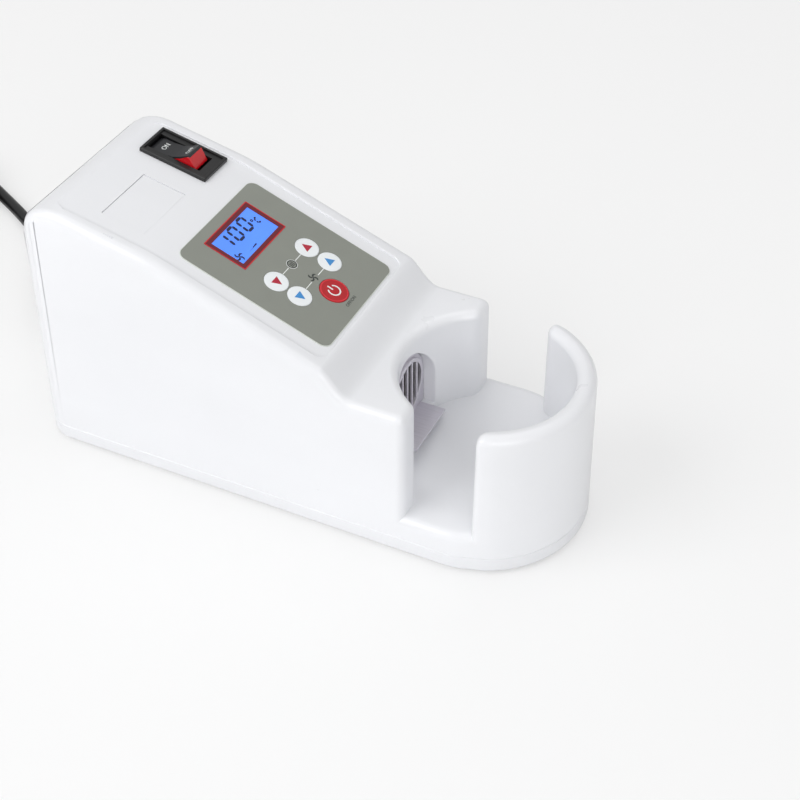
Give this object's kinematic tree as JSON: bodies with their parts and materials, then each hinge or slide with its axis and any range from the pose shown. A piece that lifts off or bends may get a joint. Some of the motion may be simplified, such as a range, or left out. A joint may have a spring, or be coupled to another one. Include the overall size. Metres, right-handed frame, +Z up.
{
  "type": "eyeglass_frame_warmer",
  "caption": "White hot-air frame warmer for an optician's bench: sloped keypad with a blue display, red rocker switch, arched air outlet and a curved hood with side gaps.",
  "frame": {"origin": "On the table under the middle of the housing, cord left out: halfway along its 265 mm length and across its width, z = 0 at the rubber feet.", "axes": "+X along the housing from the cord end towards the hood, +Y across towards the rocker switch side, +Z up."},
  "size_m": [0.51, 0.1844, 0.1348],
  "materials": {
    "housing_white": "moulded, low gloss",
    "tray_white": "moulded, low gloss",
    "rubber_dark": "matte",
    "steel_zinc": "zinc plated",
    "sheet_steel": "rolled sheet",
    "aluminium_plain": "plain",
    "brass_pins": "nickel on brass",
    "overlay_grey": "printed film",
    "key_white": "printed film",
    "key_red": "printed film",
    "display_red": "printed film",
    "display_blue": "clear window over a lit display",
    "plastic_black": "moulded",
    "rocker_red": "translucent moulding",
    "rocker_grey": "moulded",
    "blower_grey": "moulded",
    "mica_tan": "mica sheet",
    "board_green": "coated board",
    "wire_grey": "insulated wire",
    "cord_black": "smooth jacket"
  },
  "bodies": {
    "housing": {"upper_cover": "housing_white", "base_tray": "tray_white", "rubber_feet": "rubber_dark", "tray_screws": "steel_zinc", "badge_plate": "housing_white", "keypad_overlay": "overlay_grey", "display_frame": "display_red", "display_lens": "display_blue", "lcd_module": "display_blue", "control_board": "board_green", "board_screws": "steel_zinc", "tact_switches": "plastic_black", "switch_body": "plastic_black", "switch_terminals": "brass_pins", "blower_housing": "blower_grey", "blower_cover": "blower_grey", "blower_screws": "steel_zinc", "fan_motor": "steel_zinc", "motor_screws": "steel_zinc", "blower_bracket": "sheet_steel", "bracket_screws": "steel_zinc", "nozzle_tube": "sheet_steel", "heat_shield": "sheet_steel", "heater_former": "mica_tan", "heater_coil": "steel_zinc", "thermal_cutout": "aluminium_plain", "temperature_sensor": "aluminium_plain", "outlet_plate": "sheet_steel", "outlet_grille": "sheet_steel", "power_board": "board_green", "power_board_screws": "steel_zinc", "transformer": "mica_tan", "capacitor": "plastic_black", "heat_sink": "aluminium_plain", "terminal_block": "board_green", "ribbon_cable": "wire_grey", "mains_wires": "wire_grey", "switch_wires": "wire_grey", "motor_wires": "wire_grey", "heater_wires": "wire_grey", "strain_relief": "cord_black", "mains_cord": "cord_black", "cord_coil": "cord_black", "cord_tie": "plastic_black", "plug_body": "cord_black", "plug_pins": "brass_pins"},
    "switch_rocker": {"rocker": "rocker_red", "rocker_top": "rocker_grey"},
    "temp_down": {"temp_down_key": "key_white"},
    "temp_up": {"temp_up_key": "key_white"},
    "fan_down": {"fan_down_key": "key_white"},
    "fan_up": {"fan_up_key": "key_white"},
    "power": {"power_key": "key_red"},
    "fan_rotor": {"impeller": "blower_grey", "motor_shaft": "steel_zinc"}
  },
  "joints": [
    {"name": "rocker_tilt", "type": "hinge", "parent": "housing", "child": "switch_rocker", "pos_m": [-0.08899, 0.027, 0.12667], "axis": [0, 1, 0], "range_deg": [0, 24]},
    {"name": "temp_down_press", "type": "slide", "parent": "housing", "child": "temp_down", "axis": [-0.36, 0, -0.933], "range_m": [0, 0.0005], "stiffness_N_per_m": 500, "springref_m": -0.0003},
    {"name": "temp_up_press", "type": "slide", "parent": "housing", "child": "temp_up", "axis": [-0.36, 0, -0.933], "range_m": [0, 0.0005], "stiffness_N_per_m": 500, "springref_m": -0.0003},
    {"name": "fan_down_press", "type": "slide", "parent": "housing", "child": "fan_down", "axis": [-0.36, 0, -0.933], "range_m": [0, 0.0005], "stiffness_N_per_m": 500, "springref_m": -0.0003},
    {"name": "fan_up_press", "type": "slide", "parent": "housing", "child": "fan_up", "axis": [-0.36, 0, -0.933], "range_m": [0, 0.0005], "stiffness_N_per_m": 500, "springref_m": -0.0003},
    {"name": "power_press", "type": "slide", "parent": "housing", "child": "power", "axis": [-0.36, 0, -0.933], "range_m": [0, 0.0005], "stiffness_N_per_m": 500, "springref_m": -0.0003},
    {"name": "fan_spin", "type": "hinge", "parent": "housing", "child": "fan_rotor", "pos_m": [-0.08, 0, 0.0755], "axis": [0, 1, 0], "continuous": true}
  ]
}
